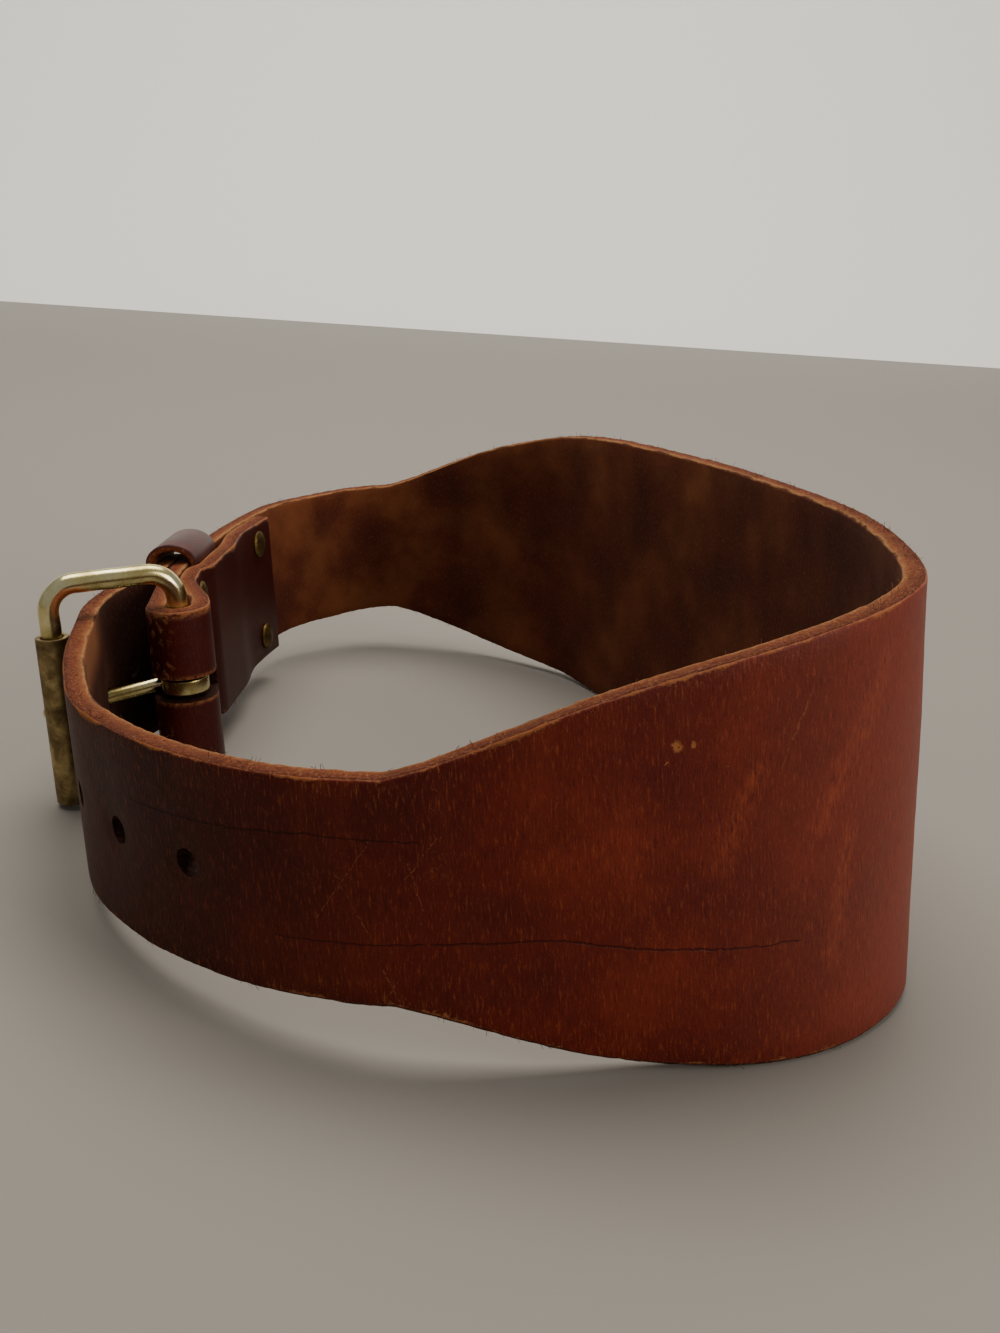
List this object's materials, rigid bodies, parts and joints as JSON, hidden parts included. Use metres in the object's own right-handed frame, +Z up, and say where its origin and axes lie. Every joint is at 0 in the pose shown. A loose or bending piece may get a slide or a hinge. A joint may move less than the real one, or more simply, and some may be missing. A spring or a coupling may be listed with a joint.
{
  "type": "weightlifting belt",
  "caption": "Tapered leather weightlifting belt, fastened into its worn loop and standing on its lower edge, with a roller buckle, a leather keeper loop and riveted billet.",
  "frame": {"origin": "centre of the belt's bounding box, on the surface it stands on", "axes": "+Z up; +X from the buckle side to the back panel; +Y from the near flank, which carries the spare holes, to the far flank"},
  "size_m": [0.2384, 0.3256, 0.1043],
  "materials": {
    "belt_leather": "worn red-brown grain with a waxy sheen, dark brown flesh side, raw tan edges",
    "keeper_leather": "smooth purple-brown with a soft sheen",
    "brass": "rubbed bright",
    "tarnished_brass": "dull and darkened, rubbed to brass in patches"
  },
  "bodies": {
    "root": {"belt": "belt_leather", "keeper_loop": "keeper_leather", "buckle_frame": "brass", "buckle_roller": "tarnished_brass", "buckle_tongue": "brass", "rivet_fold_upper": "brass", "rivet_fold_lower": "brass", "rivet_end_upper": "brass", "rivet_end_lower": "brass"}
  },
  "joints": []
}
